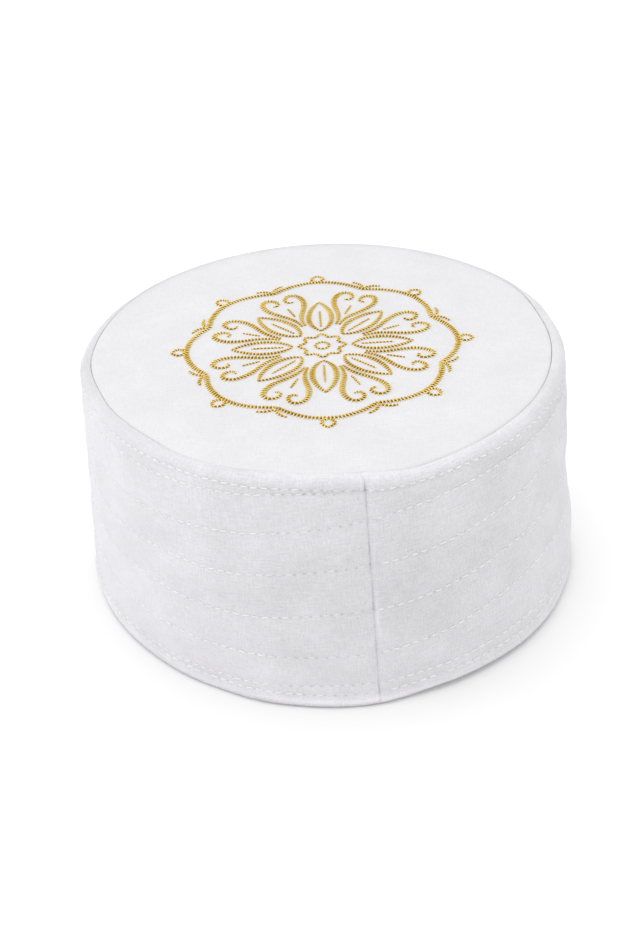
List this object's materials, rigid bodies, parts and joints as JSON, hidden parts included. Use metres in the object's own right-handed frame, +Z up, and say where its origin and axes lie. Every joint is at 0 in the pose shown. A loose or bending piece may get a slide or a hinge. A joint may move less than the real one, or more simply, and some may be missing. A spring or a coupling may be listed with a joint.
{
  "type": "embroidered prayer cap",
  "caption": "Round flat-topped prayer cap: quilted white cotton band with a rolled rim, sewn-in top panel and gold floral embroidery on the top.",
  "frame": {"origin": "middle of the hem's box, on the surface that the cap stands on", "axes": "+Z up through the top panel, -Y towards the front, where the picture's camera stands and the band's joining seam lies"},
  "size_m": [0.1902, 0.1892, 0.0932],
  "materials": {
    "band_cotton": "white plain-weave cotton, quilted, matte",
    "panel_cotton": "white plain-weave cotton, matte",
    "gold_thread": "gold embroidery thread in open zig-zag satin stitch, glossy",
    "white_thread": "white cotton sewing thread"
  },
  "bodies": {
    "root": {"side_band": "band_cotton", "top_panel": "panel_cotton", "gold_rosette": "gold_thread", "gold_garland": "gold_thread", "gold_leaf_1": "gold_thread", "gold_leaf_2": "gold_thread", "gold_leaf_3": "gold_thread", "gold_leaf_4": "gold_thread", "gold_leaf_5": "gold_thread", "gold_leaf_6": "gold_thread", "gold_leaf_7": "gold_thread", "gold_leaf_8": "gold_thread", "gold_tulip_1": "gold_thread", "gold_tulip_2": "gold_thread", "gold_tulip_3": "gold_thread", "gold_tulip_4": "gold_thread", "gold_tulip_5": "gold_thread", "gold_tulip_6": "gold_thread", "gold_tulip_7": "gold_thread", "gold_tulip_8": "gold_thread"}
  },
  "joints": []
}
